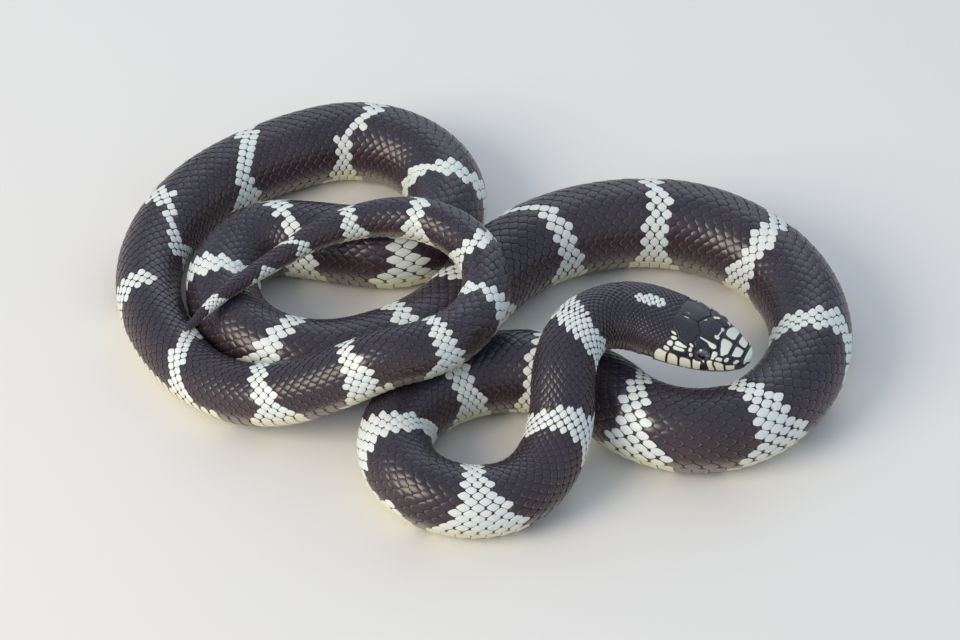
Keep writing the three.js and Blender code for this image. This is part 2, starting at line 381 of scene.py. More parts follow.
class Value:
    """A number socket that arithmetic can be written with."""

    def __init__(self, nodes, socket):
        self.nodes = nodes
        self.socket = socket

    def _math(self, operation, other):
        return self.nodes.add("ShaderNodeMath", {"operation": operation}, {0: self, 1: other})

    def __add__(self, other):
        return self._math("ADD", other)

    __radd__ = __add__

    def __mul__(self, other):
        return self._math("MULTIPLY", other)

    def __sub__(self, other):
        return self._math("SUBTRACT", other)

    def between(self, low, high):
        settings = {"interpolation_type": "SMOOTHSTEP"}
        inputs = {"Value": self, "From Min": low, "From Max": high}
        return self.nodes.add("ShaderNodeMapRange", settings, inputs)


class Nodes:
    """The node tree of one material."""

    def __init__(self, name):
        self.material = bpy.data.materials.new(name)
        self.material.use_nodes = True
        self.tree = self.material.node_tree
        self.shader = self.tree.nodes["Principled BSDF"]

    def add(self, kind, settings, inputs, output=0):
        node = self.tree.nodes.new(kind)
        for key, setting in settings.items():
            setattr(node, key, setting)
        for key, value in inputs.items():
            self.join(value, node.inputs[key])
        return Value(self, node.outputs[output])

    def join(self, value, socket):
        if isinstance(value, Value):
            self.tree.links.new(value.socket, socket)
        else:
            socket.default_value = value

    def attribute(self, name):
        return self.add("ShaderNodeAttribute", {"attribute_name": name}, {}, output="Fac")

    def noise(self, scale, detail):
        place = self.add("ShaderNodeTexCoord", {}, {}, output="Object")
        inputs = {"Vector": place, "Scale": scale, "Detail": detail}
        return self.add("ShaderNodeTexNoise", {}, inputs)

    def bump(self, strength, height):
        inputs = {"Strength": strength, "Distance": 0.0002, "Height": height}
        return self.add("ShaderNodeBump", {}, inputs)

    def mix(self, factor, low, high):
        settings = {"data_type": "RGBA"}
        return self.add("ShaderNodeMix", settings, {0: factor, 6: low, 7: high}, output=2)

    def surface(self, **sockets):
        for key, value in sockets.items():
            self.join(value, self.shader.inputs[key.replace("_", " ").title()])
        return self.material


def rgba(colour):
    return (*colour, 1.0)


def scale_material():
    """Glossy dark scales, pale band scales and warm belly edges. The dark is painted bluer on the back as
    a painted sky reflection and warmer on the sides as painted sunlight, and its light rims are partly
    painted highlight.
    """
    colours = bpy.context.scene.kingsnake_colours
    nodes = Nodes("scale_gloss")
    names = ("mark", "tone", "edge", "belly", "sunlit_flank", "neck")
    mark, tone, edge, belly, sunlit_flank, neck = (nodes.attribute(k) for k in names)
    cloud = nodes.noise(70.0, 3.0)
    grain = nodes.noise(900.0, 2.0)
    # Painted light: the bluer dark on the back is a painted sky reflection and the warmer dark on the
    # sides is painted sunlight; the random tone share is the scales' own warmth.
    dark = nodes.mix(sunlit_flank * 0.75 + tone * 0.25, rgba(colours.dark), rgba(colours.dark_warm_and_sunlit))
    dark = nodes.mix(cloud.between(0.35, 0.75) * 0.5, dark, rgba(colours.dark_deep))
    dark = nodes.mix(neck * 0.5, dark, rgba(colours.neck_dark))
    # Lighter rear rims: partly the scales' own pale edges and partly a painted highlight of glints,
    # painted strongest on the sides.
    rim = edge.between(0.42, 0.9) * (sunlit_flank * 0.45 + neck * 0.1 + 0.3)
    dark = nodes.mix(rim, dark, rgba(colours.dark_rim_and_glint))
    dark = nodes.mix(belly, dark, rgba(colours.belly_grey))
    pale = nodes.mix(tone * 0.5 + grain * 0.4, rgba(colours.pale), rgba(colours.pale_cool))
    pale = nodes.mix(belly, pale, rgba(colours.cream))
    base = nodes.mix((mark + grain * 0.16 - 0.08).between(0.42, 0.62), dark, pale)
    roughness = 0.22 + mark * 0.16 + grain * 0.08
    material = nodes.surface(base_color=base, roughness=roughness, normal=nodes.bump(0.12, grain))
    nodes.shader.inputs["Specular IOR Level"].default_value = 0.5
    return material


def plate_material():
    """Smooth dark head plates with pale middles and fine flecks."""
    colours = bpy.context.scene.kingsnake_colours
    nodes = Nodes("head_plate_gloss")
    mark, tone, edge, belly = (nodes.attribute(k) for k in ("mark", "tone", "edge", "belly"))
    grain = nodes.noise(1300.0, 3.0)
    cloud = nodes.noise(260.0, 2.0)
    fleck = nodes.noise(2600.0, 2.0)
    warmth = tone * 0.3 + cloud.between(0.4, 0.8) * 0.5
    dark = nodes.mix(warmth, rgba(colours.head_dark), rgba(colours.head_warm))
    dark = nodes.mix(fleck.between(0.62, 0.72) * 0.5, dark, rgba(colours.head_fleck))
    # Lighter plate rims in the same colour: partly their own edge colour and partly painted highlight.
    dark = nodes.mix(edge.between(0.5, 1.0) * 0.25, dark, rgba(colours.dark_rim_and_glint))
    pale = nodes.mix(cloud, rgba(colours.head_pale), rgba(colours.pale))
    pale = nodes.mix(belly, pale, rgba(colours.lip))
    base = nodes.mix((mark + grain * 0.10 - 0.05).between(0.45, 0.55), dark, pale)
    roughness = 0.22 + mark * 0.12 + grain * 0.08
    return nodes.surface(base_color=base, roughness=roughness, normal=nodes.bump(0.15, grain))


def skin_material():
    """Dull skin that shows in the seams."""
    colours = bpy.context.scene.kingsnake_colours
    nodes = Nodes("skin_between_scales")
    mark, belly = nodes.attribute("mark"), nodes.attribute("belly")
    grain = nodes.noise(600.0, 3.0)
    base = nodes.mix(mark, rgba(colours.seam), rgba(colours.seam_pale))
    base = nodes.mix(belly, base, rgba(colours.belly_seam))
    return nodes.surface(base_color=base, roughness=0.5 + grain * 0.2, normal=nodes.bump(0.3, grain))


def eye_material():
    """A clear cap over a dark pupil and a grey-blue iris; the iris's light blue-grey is partly its own
    colour and partly a painted sky reflection.
    """
    colours = bpy.context.scene.kingsnake_colours
    nodes = Nodes("eye_gloss")
    ring = nodes.attribute("ring")
    fibre = nodes.noise(1500.0, 4.0).between(0.3, 0.7)
    # The iris colours are raised and blued partly as a painted sky reflection over the iris's own grey.
    iris = nodes.mix(fibre, rgba(colours.iris), rgba(colours.iris_light_and_reflection))
    base = nodes.mix(ring.between(0.50, 0.56), rgba(colours.pupil), iris)
    base = nodes.mix(ring.between(0.80, 0.97), base, rgba(colours.pupil))
    material = nodes.surface(base_color=base, roughness=0.12)
    nodes.shader.inputs["Coat Weight"].default_value = 1.0
    nodes.shader.inputs["Coat Roughness"].default_value = 0.03
    return material


# ------------------------------------------------------------------ settings

def length(name, description, default):
    return FloatProperty(
        name=name, description=description, default=default, unit="LENGTH", subtype="DISTANCE"
    )


def colour(name, description, default):
    return FloatVectorProperty(
        name=name, description=description, default=default, subtype="COLOR", size=3, min=0, max=1
    )


class KingsnakeSizes(bpy.types.PropertyGroup):
    coat: length("Coat depth", "How far the skin lies inside the outer form", 0.00042)
    scale_root: length("Scale root", "How far a scale's foot lies inside the outer form", 0.0005)
    scale_front: length("Scale front", "How far a scale's front edge lies inside it", 0.00024)
    scale_rear: length("Scale rear", "How far its free rear edge lies inside it", 0.00004)
    seam: FloatProperty(
        name="Seam", description="Share of a scale's cell left open as seam",
        default=0.035, min=0, max=0.3, subtype="FACTOR",
    )
    lens: length("Lens", "Focal length of the camera, on a sensor 36 mm wide", 0.1465)
    camera_distance: length("Camera distance", "From the camera to the middle of the view", 1.0625)
    camera_elevation: FloatProperty(
        name="Camera elevation", description="Angle of the view over the floor",
        default=math.radians(42), subtype="ANGLE", unit="ROTATION",
    )


class KingsnakeColours(bpy.types.PropertyGroup):
    # The dark is bluer for a painted sky reflection on the back. The warm dark is partly the scales' own
    # warmth and partly painted sunlight on the sides.
    dark: colour("Dark", "Scales of the back", (0.028, 0.026, 0.043))
    dark_warm_and_sunlit: colour("Dark, warm", "Dark scales of the flanks", (0.054, 0.031, 0.033))
    dark_deep: colour("Dark, deep", "Darkest clouds on the back", (0.012, 0.009, 0.014))
    # The rims' light colour is partly the scales' own edges and partly painted highlight.
    dark_rim_and_glint: colour("Dark edge", "Thin rims of the dark scales", (0.190, 0.145, 0.155))
    pale: colour("Pale", "Scales of the bands", (0.76, 0.79, 0.75))
    pale_cool: colour("Pale, cool", "The cooler of the band scales", (0.62, 0.70, 0.70))
    cream: colour("Cream", "Bands near the belly, lips", (0.76, 0.74, 0.55))
    neck_dark: colour("Neck, dark", "Scales between head and first band", (0.016, 0.019, 0.034))
    belly_grey: colour("Belly grey", "Belly between the bands", (0.24, 0.20, 0.165))
    head_dark: colour("Head, dark", "Crown plates", (0.012, 0.015, 0.028))
    head_warm: colour("Head, warm", "Warmer clouds on the crown", (0.045, 0.032, 0.040))
    head_fleck: colour("Head flecks", "Fine flecks on the crown", (0.16, 0.15, 0.17))
    head_pale: colour("Head, pale", "Pale patches of the snout", (0.70, 0.76, 0.62))
    lip: colour("Lip", "Lip plates", (0.86, 0.82, 0.60))
    seam: colour("Seam", "Skin between dark scales", (0.050, 0.037, 0.042))
    seam_pale: colour("Seam in bands", "Skin between pale scales", (0.055, 0.035, 0.037))
    belly_seam: colour("Belly seam", "Skin between belly scutes", (0.08, 0.06, 0.05))
    pupil: colour("Pupil", "Middle of the eye", (0.003, 0.003, 0.003))
    # The iris colours are partly the iris's own grey and partly a painted sky reflection.
    iris: colour("Iris", "Ring round the pupil", (0.030, 0.040, 0.055))
    iris_light_and_reflection: colour("Iris, light", "Fibres of the iris", (0.10, 0.13, 0.17))
    floor: colour("Floor", "The studio floor", (0.78, 0.77, 0.75))


# ------------------------------------------------------------------ skin

SKIN_SIDES = 96              # points round each ring of the skin
SKIN_RINGS = 420             # rings behind the head
HEAD_STEP = 0.4              # from ring to ring on the head


class KINGSNAKE_OT_skin(bpy.types.Operator):
    """Lofts one skin from snout to tail tip, inside the solids by the coat's depth"""

    bl_idname = "kingsnake.skin"
    bl_label = "Skin"

    def execute(self, context):
        sizes = context.scene.kingsnake_sizes
        depth = -sizes.coat / MM
        head = np.arange(0.02 - SNOUT_CAP, HEAD_END, HEAD_STEP)
        at = np.concatenate([head, np.linspace(HEAD_END, LENGTH - 1.2, SKIN_RINGS)])
        around = np.arange(SKIN_SIDES) * 360.0 / SKIN_SIDES - 180
        grid_at, grid_around = np.meshgrid(at, around, indexing="ij")
        points = on_body(grid_at, grid_around, np.full(grid_at.shape, depth))
        ends = np.stack([points[0].mean(axis=0), points[-1].mean(axis=0)])
        last = (len(at) - 1) * SKIN_SIDES
        snout, tip = last + SKIN_SIDES, last + SKIN_SIDES + 1
        sides = [(i, (i + 1) % SKIN_SIDES) for i in range(SKIN_SIDES)]
        faces = [
            (row + i, row + j, row + SKIN_SIDES + j, row + SKIN_SIDES + i)
            for row in range(0, last, SKIN_SIDES) for i, j in sides
        ]
        for i, j in sides:
            faces += [(snout, j, i), (tip, last + i, last + j)]
        flat = np.concatenate([points.reshape(-1, 3), ends])
        all_at = np.concatenate([grid_at.ravel(), [0.0, LENGTH]])
        all_around = np.concatenate([grid_around.ravel(), [0.0, 0.0]])
        values = {
            "mark": smooth_step(-0.3, 0.3, band_depth(all_at, all_around)),
            "belly": smooth_step(100, 124, np.abs(all_around)),
        }
        corners = []
        for face in faces:
            place_at, place_around = all_at[list(face)], all_around[list(face)]
            if len(face) == 3:
                place_around[0] = place_around[1]
            corners.append(unwrap(place_at, place_around, place_at.mean(), place_around[-1]))
        skin = new_mesh("skin", flat, faces, np.concatenate(corners), values, skin_material())
        turn_outwards()
        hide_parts(*(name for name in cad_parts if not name.startswith("eye_")))
        return {"FINISHED"}


# ------------------------------------------------------------------ scales of back and tail

# One scale in its cell: along by the pitch, across by the spacing of the rows, front first. Then
# how pale the rim of a band's scale is there, and how much less of it is pale along the body.
SCALE_OUTLINE = (
    (-0.48, 0.0), (-0.43, 0.24), (-0.24, 0.50), (-0.01, 0.78), (0.21, 0.56), (0.41, 0.25),
    (0.50, 0.0), (0.41, -0.25), (0.21, -0.56), (-0.01, -0.78), (-0.24, -0.50), (-0.43, -0.24),
)
CORNER_PALE = (0.35, 0.65, 0.95, 0.6, 0.95, 0.9, 0.6, 0.9, 0.95, 0.6, 0.95, 0.65)
NARROWED = ((180, 0.0), (210, 0.17), (300, 0.17), (330, 0.08), (420, 0.0))
ROW_REACH = 105.0            # degrees from the back's middle to the lowest row
LOWEST_ROW = 1.25            # spacing before the lowest row, in rows
TAIL_END = 0.2               # no scale comes nearer to the end of the tail
TUCK = 0.16                  # how far the first scales dip under the head's plates
SIZE_SPREAD = 0.02           # how much scales differ in size and in place, as a share
LIFT_SPREAD = 0.012          # and in height, in millimetres
BAND_SPREAD = 0.1            # how ragged a band's edge is, in scales

# Stretches of the coat: name, from, to, rows of scales, reach of the rows in degrees.
COAT = (
    ("scales_nape_1", 19.0, 36, 33, ROW_REACH),
    ("scales_nape_2", 36, 50, 29, ROW_REACH),
    ("scales_neck_1", 50, 72, 25, ROW_REACH),
    ("scales_neck_2", 72, 100, 23, ROW_REACH),
    ("scales_trunk_1", 100, 285, 23, ROW_REACH),
    ("scales_trunk_2", 285, 480, 23, ROW_REACH),
    ("scales_trunk_3", 480, 690, 23, ROW_REACH),
    ("scales_trunk_4", 690, 850, 21, ROW_REACH),
    ("scales_tail_1", 850, 872, 17, 116.0),
    ("scales_tail_2", 872, 932, 15, 118.0),
    ("scales_tail_3", 932, 948, 13, 120.0),
    ("scales_tail_4", 948, 962, 11, 122.0),
    ("scales_tail_5", 962, 980, 9, 122.0),
)
# Degrees from the back's middle, and how far from the snout the head's plates end there.
PLATES_END = (
    (0, 20.9), (12, 20.9), (27, 20.4), (36, 20.2), (46, 19.8), (58, 19.7), (64, 20.4), (80, 21),
    (84, 22.4), (92, 23.1), (100, 23.3), (120, 23.4),
)
# A scale's length against the spacing of the rows, by the distance from the snout.
PITCH = ((20, 1.45), (36, 1.6), (60, 1.65), (95, 1.75), (940, 1.75), (980, 1.6))


def row_angles(rows, reach):
    """Degrees of the rows from side to side; on the nape they lie closer on the back."""
    half = (rows - 1) // 2
    share = np.arange(half + 1) / (half - 1 + LOWEST_ROW)
    share[-1] = 1.0
    crowding = 0.35 if rows > 23 else 0.0
    steps = reach * share * (1 - crowding * (1 - share))
    return np.concatenate([-steps[:0:-1], steps])


def columns(start, end, rows, reach):
    """Middles of the scale columns between two distances, and the pitch at each."""
    step = 0.25
    fine = np.arange(start, end, step)
    spacing = girth_radius(fine) * math.radians(reach / ((rows - 1) / 2))
    pitch = spacing * read_table(PITCH, fine)
    phase = np.concatenate([[0.0], np.cumsum(step / pitch)[:-1]])
    count = int(phase[-1])
    phase *= count / phase[-1]
    halves = np.arange(0, 2 * count) / 2 + 0.25
    return np.interp(halves, phase, fine), np.interp(halves, phase, pitch)


def behind_plates(at, around):
    """How far behind the head's plates a place lies, in millimetres."""
    return at - read_table(PLATES_END, np.abs(around))


class KINGSNAKE_OT_back_scales(bpy.types.Operator):
    """Lays the rows of solid scales over back, sides and tail"""

    bl_idname = "kingsnake.back_scales"
    bl_label = "Back scales"

    def execute(self, context):
        material = scale_material()
        for index, stretch in enumerate(COAT):
            self.lay(context.scene.kingsnake_sizes, material, index, *stretch)
        return {"FINISHED"}

    def lay(self, sizes, material, index, name, start, end, rows, reach):
        rng = np.random.default_rng(40 + index)
        at, around, pitch, height = self.places(start, end, rows, reach)
        count = len(at)
        local, lift, root = self.one_scale(sizes)
        rearward = np.clip(local[:, 0] + 0.5, 0, 1)
        # Rear rim mask for the lighter rims, which are partly painted highlight.
        edge = np.concatenate([np.ones(24), np.full(12, 0.6), [0.0]]) * rearward
        inner_pale = np.where(local[24:36, 0] < -0.3, 0.85, 1.0)
        pale_part = np.concatenate([np.zeros(12), CORNER_PALE, inner_pale, [1.0]])

        own_size = rng.normal(1.0, SIZE_SPREAD, (count, 1))
        place_at = at[:, None] + local[None, :, 0] * pitch[:, None] * own_size
        place_around = around[:, None] + local[None, :, 1] * height[:, None] * own_size
        place_around = place_around + rng.normal(0, SIZE_SPREAD, (count, 1)) * height[:, None]
        tuck = TUCK * (1 - smooth_step(0.6, 1.3, behind_plates(at, around)))
        lifts = lift + (rng.normal(0, LIFT_SPREAD, count) - tuck)[:, None] * (lift > root)
        points = on_body(np.minimum(place_at, LENGTH - TAIL_END), place_around, lifts)

        uv = unwrap(at - 0.45 * pitch, around)[:, None, :] + local[None, :, :] * PATCH
        white = band_depth(at, around) + rng.normal(0, BAND_SPREAD, count) * pitch > 0.04 * pitch
        narrowed = rng.normal(0.08, 0.12, count) + read_table(NARROWED, at)
        narrowed = np.clip(narrowed, -0.1, 0.3)
        values = {
            "mark": (white[:, None] * (pale_part - narrowed[:, None])).ravel(),
            "tone": np.repeat(rng.random(count), len(local)),
            "edge": np.tile(edge, count),
            "belly": smooth_step(88, 110, np.abs(place_around)).ravel(),
            "neck": np.repeat(smooth_step(80, 34, at), len(local)),
            # How far round to the sides: there painted sunlight replaces the painted sky reflection, and
            # the painted rim highlight grows.
            "sunlit_flank": smooth_step(25, 85, np.abs(place_around)).ravel(),
        }
        faces = joined(dome(0, 3, 12), len(local), count)
        piece = new_mesh(name, points.reshape(-1, 3), faces, uv.reshape(-1, 2), values, material)

    def places(self, start, end, rows, reach):
        """Middles, lengths and heights in degrees of a stretch's scales, row by row."""
        angles = row_angles(rows, reach)
        at_all, pitch_all = columns(start, end, rows, reach)
        below = np.diff(angles, prepend=2 * angles[0] - angles[1])
        above = np.append(below[1:], below[-1])
        found = []
        for row, angle in enumerate(angles):
            own = slice((row + rows // 2) % 2, None, 2)
            at = at_all[own]
            degrees = np.full(len(at), angle)
            height = np.full(len(at), (below[row] + above[row]) / 2)
            found.append(np.stack([at, degrees, pitch_all[own], height]))
        found = np.concatenate(found, axis=1)
        return found[:, behind_plates(found[0], found[1]) > 0.05]

    def one_scale(self, sizes):
        """Plan points and heights of one scale, and the height of its foot."""
        outline = np.array(SCALE_OUTLINE) * (1 - sizes.seam)
        root, front, rear = (-v / MM for v in (sizes.scale_root, sizes.scale_front, sizes.scale_rear))
        local = np.concatenate([outline, outline, outline * 0.76, np.zeros((1, 2))])
        lift = front + (rear - front) * (local[:, 0] + 0.5)
        lift += np.repeat([0.0, -0.03, 0.035, 0.06], [12, 12, 12, 1])
        lift[:12] = root
        return local, lift, root


# ------------------------------------------------------------------ belly

FIRST_SCUTE = 27.0           # distance from the snout
# The section of a scute along the body: share of its length and height, foot to foot.
SCUTE_PROFILE = ((-0.50, -0.5), (-0.48, -0.22), (0.30, -0.05), (0.46, -0.08), (0.455, -0.5))


class KINGSNAKE_OT_belly_scutes(bpy.types.Operator):
    """Lays broad scutes across the belly, and a double row of them under the tail"""

    bl_idname = "kingsnake.belly_scutes"
    bl_label = "Belly scutes"

    def execute(self, context):
        material = scale_material()
        trunk = [stretch for stretch in COAT if stretch[2] <= 850]
        tail = [stretch for stretch in COAT if stretch[2] > 850]
        self.lay(material, "belly_scutes", trunk, [(111.5, 248.5)], 26)
        self.lay(material, "tail_scutes", tail, [(126.5, 179.3), (180.7, 233.5)], 12)
        return {"FINISHED"}

    def lay(self, material, name, stretches, spans, across):
        rng = np.random.default_rng(7)
        found = [columns(max(start, FIRST_SCUTE), *rest) for _, start, *rest in stretches]
        at, pitch = np.concatenate([np.stack(pair)[:, ::2] for pair in found], axis=1)
        along, lift = np.array(SCUTE_PROFILE).T
        local_u, local_v = np.meshgrid(along, np.linspace(0, 1, across), indexing="ij")
        lifts = np.broadcast_to(lift[:, None], local_u.shape)
        bow = 0.10 * (1 - (2 * local_v - 1) ** 2) - 0.05
        patch = (np.stack([local_u, local_v], -1) - 0.5) * PATCH
        points, uvs, marks, tones = [], [], [], []
        for low, high in spans:
            around = low + (high - low) * local_v
            around = np.where(around > 180, around - 360, around)
            for own_at, own_pitch in zip(at, pitch):
                where = np.minimum(own_at + (local_u + bow) * own_pitch, LENGTH - TAIL_END)
                points.append(on_body(where, around, lifts).reshape(-1, 3))
                home = unwrap(own_at - 0.5 * own_pitch, (low + high) / 2)
                uvs.append((home + patch).reshape(-1, 2))
                inside = band_depth(own_at, around[0]) + rng.normal(0, BAND_SPREAD) * own_pitch
                mark = smooth_step(-0.15, 0.15, inside)
                marks.append(np.broadcast_to(mark, local_u.shape).ravel())
                tones.append(np.full(local_u.size, rng.random()))
        count = len(points)
        all_over = np.ones(count * local_u.size)
        rim = np.repeat(np.abs(along) > 0.44, across).astype(float)
        values = {
            "mark": np.concatenate(marks),
            "tone": np.concatenate(tones),
            "belly": all_over,
            "edge": np.tile(rim, count),
            # Full share of the sides' painted sunlight and painted rim highlight, under the belly grey
            # that covers them.
            "sunlit_flank": all_over,
        }
        faces = joined(self.one_scute(len(along), across), local_u.size, count)
        points, uvs = np.concatenate(points), np.concatenate(uvs)
        piece = new_mesh(name, points, faces, uvs, values, material)
        turn_outwards()

    def one_scute(self, rows, across):
        """Faces of one scute: a closed strip round its section, and its two ends."""
        faces = []
        for row in range(rows):
            here, after = row * across, (row + 1) % rows * across
            for i in range(across - 1):
                faces.append((here + i, here + i + 1, after + i + 1, after + i))
        first_end = tuple(row * across for row in range(rows))
        last_end = tuple(row * across + across - 1 for row in reversed(range(rows)))
        return [*faces, first_end, last_end]


# ------------------------------------------------------------------ head plates

def lip(at, gap=0.12):
    """The rim of the upper lip, or of the lower one with a negative gap."""
    return (at, angle_at(at, float(read_table(MOUTH_HEIGHT, at)) + gap))


def eye_rim(turn):
    """A place on the rim of the plates round the eye; 0 is its rear and 90 its top."""
    clear = 0.12
    at = EYE["at"] + (EYE["along"] + clear) * math.cos(math.radians(turn))
    return (at, angle_at(at, EYE["up"] + (EYE["high"] + clear) * math.sin(math.radians(turn))))


# Corners shared by the plates of one half of the head: (distance from snout, degrees from top).
CORNERS = {
    "rostral_top": (1.2, 0), "rostral_high": (1.1, 25), "rostral_side": (1.3, 56),
    "rostral_low": (1.3, 76), "rostral_lip": (1.5, 98), "rostral_corner": (1.9, 114),
    "nose_cross": (4.25, 0), "nose_suture": (4.25, 30), "nose_end": (4.35, 57),
    "nasal_top": (3.6, 67), "nasal_front": (2.4, 66), "nostril_top": (3.5, 74.5),
    "nostril_low": (3.5, 87), "nostril_front": (3.0, 80.7), "nostril_rear": (4.05, 80.7),
    "nostril_1": (3.13, 76.3), "nostril_2": (3.13, 85.2), "nostril_3": (3.9, 76.3),
    "nostril_4": (3.9, 85.2), "nasal_foot": (3.5, 97), "nasal_back": (4.9, 60),
    "loreal_top": (5.55, 73), "loreal_foot": (5.5, 91), "loreal_edge": (6.2, 73),
    "brow_front": (8.0, 0), "frontal_corner": (8.2, 16), "brow_inner": (7.6, 32),
    "brow_outer": (7.3, 50), "preocular_edge": (6.95, 60), "preocular_front": (6.9, 71),
    "preocular_mid": (7.4, 79), "preocular_foot": (7.6, 88.5), "brow_eye": (8.5, 50),
    "frontal_side": (10.5, 16.5), "frontal_rear": (12.8, 17), "frontal_slope": (13.9, 9),
    "frontal_tip": (15, 0), "brow_back": (13.8, 30), "brow_end": (13.7, 44), "post_top": (14.9, 54),
    "post_one": (14.7, 62), "post_one_eye": (13.15, 63), "post_two": (14.75, 71),
    "post_three": (14.6, 79), "post_two_eye": (13.15, 78), "post_foot": (14.3, 90),
    "post_foot_eye": (13.0, 91.5), "parietal_low": (15.6, 59), "parietal_side": (17.6, 52.5),
    "parietal_notch": (18.1, 46), "parietal_rear": (18.7, 37), "parietal_back": (20.4, 27),
    "parietal_round": (20.9, 12), "parietal_end": (20.7, 0), "temple_top": (18.5, 60),
    "temple_mid": (16.6, 71.5), "temple_back": (18.3, 71), "temple_low": (18.95, 79),
    "temple_foot": (19.0, 88), "temple_far": (19.5, 58), "temple_far_low": (20.4, 65),
    "temple_end": (20.4, 75), "temple_tip": (21.0, 80), "temple_heel": (20.9, 87),
    "temple_toe": (19.9, 89), "nape_one": (19.5, 46), "nape_two": (20.0, 52),
    "nape_three": (20.2, 36), "nape_four": (20.4, 41), "lip_one": (5.0, 94),
    "lip_one_mid": (4.75, 108), "lip_two": (7.8, 93), "lip_two_mid": (7.0, 108),
    "lip_three": (9.35, 96), "lip_three_mid": (8.75, 108), "lip_four_mid": (12.75, 105),
    "lip_five": (16.4, 90), "lip_five_mid": (16.2, 104), "lip_six": (19.5, 91),
    "lip_six_mid": (19.5, 105), "lip_end_top": (22.2, 86), "lip_end": (23.0, 93),
    "lip_end_low": (23.2, 104),
}
LIP_RIM = {
    "1": 2.0, "2": 4.45, "3": 6.65, "4": 8.6, "5": 12.6, "6": 16.1, "7": 19.4, "8": 22.6, "45": 10.6,
    "55": 14.4,
}
EYE_RIM = {
    "up_front": 135, "up": 100, "up_back": 65, "back_up": 38, "front_up": 160, "front": 185,
    "front_low": 210, "low_front": 235, "low": 270, "low_back": 300, "back_low": 325, "back": 350,
    "back_mid": 12,
}
CORNERS.update({f"rim_{name}": lip(at) for name, at in LIP_RIM.items()})
CORNERS.update({f"eye_{name}": eye_rim(turn) for name, turn in EYE_RIM.items()})

# Corners of each plate of one side, in order.
PLATES = {
    "internasal": """rostral_top nose_cross nose_suture nose_end nasal_top nasal_front
        rostral_side rostral_high""",
    "nasal_front": """rostral_side nasal_front nasal_top nostril_top nostril_1 nostril_front
        nostril_2 nostril_low nasal_foot rostral_lip rostral_low""",
    "nasal_rear": """nasal_top nose_end nasal_back loreal_top loreal_foot lip_one nasal_foot
        nostril_low nostril_4 nostril_rear nostril_3 nostril_top""",
    "prefrontal": """nose_cross brow_front frontal_corner brow_inner brow_outer preocular_edge
        preocular_front loreal_edge loreal_top nasal_back nose_end nose_suture""",
    "loreal": "loreal_top loreal_edge preocular_front preocular_mid preocular_foot loreal_foot",
    "preocular": """brow_outer brow_eye eye_front_up eye_front eye_front_low preocular_foot
        preocular_mid preocular_front preocular_edge""",
    "supraocular": """frontal_corner frontal_side frontal_rear brow_back brow_end eye_back_up
        eye_up_back eye_up eye_up_front brow_eye brow_outer brow_inner""",
    "postocular_1": "brow_end post_top post_one post_one_eye eye_back_up",
    "postocular_2": "post_one_eye post_one post_two post_three post_two_eye eye_back_mid",
    "postocular_3": "post_two_eye post_three post_foot post_foot_eye eye_back_low eye_back",
    "parietal": """frontal_tip parietal_end parietal_round parietal_back parietal_rear
        parietal_notch parietal_side parietal_low post_one post_top brow_end brow_back
        frontal_rear frontal_slope""",
    "temple_1": "post_one parietal_low parietal_side temple_top temple_back temple_mid post_two",
    "temple_2": """post_two temple_mid temple_back temple_low temple_foot lip_five post_foot
        post_three""",
    "temple_3": "temple_low temple_end temple_tip temple_heel temple_toe temple_foot",
    "temple_4": "temple_top temple_far temple_far_low temple_end temple_low temple_back",
    "nape_1": "parietal_side parietal_notch nape_one nape_two temple_far temple_top",
    "nape_2": "parietal_notch parietal_rear nape_three nape_four nape_one",
    "upper_lip_1": "rostral_lip nasal_foot lip_one lip_one_mid rim_2 rim_1 rostral_corner",
    "upper_lip_2": """lip_one loreal_foot preocular_foot lip_two lip_two_mid rim_3 rim_2
        lip_one_mid""",
    "upper_lip_3": """preocular_foot eye_front_low eye_low_front lip_three lip_three_mid rim_4
        rim_3 lip_two_mid lip_two""",
    "upper_lip_4": """eye_low_front eye_low eye_low_back eye_back_low post_foot_eye lip_four_mid
        rim_5 rim_45 rim_4 lip_three_mid lip_three""",
    "upper_lip_5": """post_foot_eye post_foot lip_five lip_five_mid rim_6 rim_55 rim_5
        lip_four_mid""",
    "upper_lip_6": "lip_five temple_foot lip_six lip_six_mid rim_7 rim_6 lip_five_mid",
    "upper_lip_7": """temple_foot temple_toe temple_heel lip_end_top lip_end lip_end_low rim_8
        rim_7 lip_six_mid lip_six""",
}
# Width of the dark rim round a plate's pale middle; the other plates are dark all over.
RIMS = {
    "internasal": 0.50, "prefrontal": 0.54, "loreal": 0.16, "preocular": 0.22,
    "temple_1": 0.24, "temple_3": 0.2, "temple_4": 0.24, "nape_1": 0.22, "nape_2": 0.2,
    "upper_lip_1": 0.24, "upper_lip_2": 0.24, "upper_lip_3": 0.24, "upper_lip_4": 0.22,
    "upper_lip_5": 0.3, "upper_lip_6": 0.32, "upper_lip_7": 0.34,
}
PALE_FROM = {"upper_lip_1": 2.6, "upper_lip_4": 10.75}   # a plate is dark before that distance
# Pale spots of both sides, each a tapered streak: distance, degrees and radius of its one end
# and of its other.
SPOTS = {
    "nasal_front": ((2.2, 87.5, 0.52, 2.55, 92, 0.46),),
    "nasal_rear": ((4.6, 76.5, 0.42, 4.75, 84, 0.5),),
    "postocular_1": ((13.8, 59.5, 0.34, 13.9, 56.5, 0.34), (14.3, 53.5, 0.26, 14.5, 51.5, 0.22)),
    "postocular_2": ((13.95, 72.5, 0.4, 13.95, 67.5, 0.4),),
    "postocular_3": ((13.35, 86.0, 0.42, 13.55, 83, 0.42),),
    "temple_2": ((15.75, 76.5, 0.42, 17.7, 76.0, 0.6),),
    "upper_lip_4": ((10.0, 92.5, 0.16, 10.25, 92.0, 0.16),),
}
